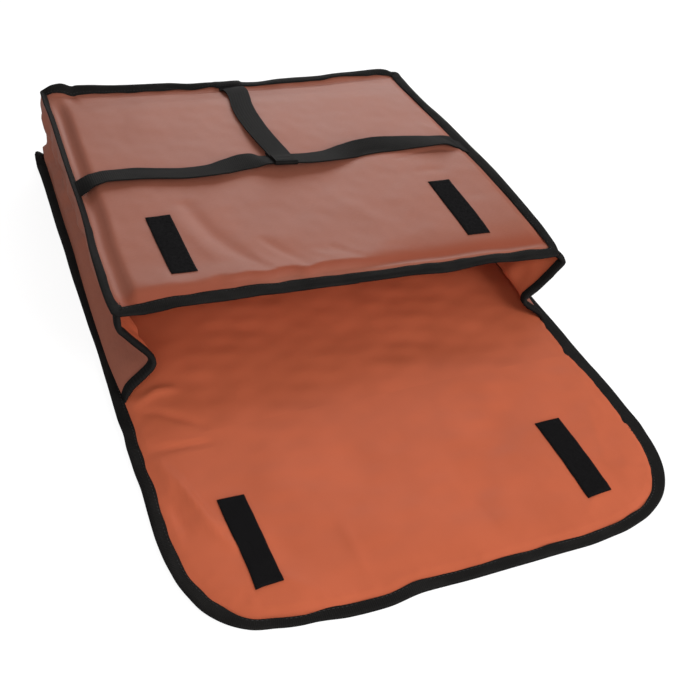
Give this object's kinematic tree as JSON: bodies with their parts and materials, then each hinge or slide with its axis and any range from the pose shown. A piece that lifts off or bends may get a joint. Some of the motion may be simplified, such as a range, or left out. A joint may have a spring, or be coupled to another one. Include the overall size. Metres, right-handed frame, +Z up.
{
  "type": "insulated delivery bag",
  "caption": "Low padded carrying bag for flat boxes, lying open: base with a closing flap, hinged lid on folding side gussets, bound edges and a webbing handle.",
  "frame": {"origin": "on the floor, at the centre of the outline of the bag as it lies open", "axes": "+X to the bag's right seen from the mouth, +Y from the mouth to the back wall, +Z up"},
  "size_m": [0.477, 0.688, 0.1015],
  "materials": {
    "outer_fabric": "brown-red coated cloth with a fine cross weave, satin",
    "lining_fabric": "orange-red smooth lining cloth",
    "foam": "white closed-cell foam sheet, hidden",
    "binding_tape": "black ribbed binding tape, matt",
    "webbing": "dark grey woven webbing, matt",
    "hook_tape": "black hook tape, rough",
    "loop_tape": "black loop tape, fuzzy"
  },
  "bodies": {
    "base": {"base_outer_cover": "outer_fabric", "base_foam": "foam", "base_lining": "lining_fabric", "base_left_binding": "binding_tape", "base_right_binding": "binding_tape", "base_rear_binding": "binding_tape", "back_outer_cover": "outer_fabric", "back_foam": "foam", "back_lining": "lining_fabric", "left_gusset_outer_cover": "outer_fabric", "left_gusset_lining": "lining_fabric", "left_mouth_binding": "binding_tape", "right_gusset_outer_cover": "outer_fabric", "right_gusset_lining": "lining_fabric", "right_mouth_binding": "binding_tape"},
    "flap_wall": {"flap_wall_outer_cover": "outer_fabric", "flap_wall_foam": "foam", "flap_wall_lining": "lining_fabric", "flap_wall_left_binding": "binding_tape", "flap_wall_right_binding": "binding_tape"},
    "flap_tip": {"flap_tip_outer_cover": "outer_fabric", "flap_tip_foam": "foam", "flap_tip_lining": "lining_fabric", "flap_tip_binding": "binding_tape", "hook_strip_left": "hook_tape", "hook_strip_right": "hook_tape"},
    "lid": {"top_outer_cover": "outer_fabric", "top_foam": "foam", "top_lining": "lining_fabric", "top_front_binding": "binding_tape", "top_rear_binding": "binding_tape", "top_left_binding": "binding_tape", "top_right_binding": "binding_tape", "loop_strip_left": "loop_tape", "loop_strip_right": "loop_tape", "cross_strap": "webbing", "rear_strap": "webbing"},
    "handle": {"handle_sleeve": "webbing"}
  },
  "joints": [
    {"name": "flap_fold", "type": "hinge", "parent": "base", "child": "flap_wall", "pos_m": [-0.0055, -0.084, 0.0043], "axis": [-1, 0, 0], "range_deg": [0, 100]},
    {"name": "flap_tip_fold", "type": "hinge", "parent": "flap_wall", "child": "flap_tip", "pos_m": [-0.0055, -0.188, 0.0043], "axis": [-1, 0, 0], "range_deg": [0, 80]},
    {"name": "lid_tilt", "type": "hinge", "parent": "base", "child": "lid", "pos_m": [0.0055, 0.34005, 0.08135], "axis": [-1, 0, 0], "range_deg": [-5, 3], "deforming": ["left_gusset_outer_cover", "left_gusset_lining", "left_mouth_binding", "right_gusset_outer_cover", "right_gusset_lining", "right_mouth_binding"]},
    {"name": "handle_lift", "type": "slide", "parent": "lid", "child": "handle", "axis": [0, 0, 1], "range_m": [0, 0.05], "deforming": ["cross_strap", "rear_strap"]}
  ]
}
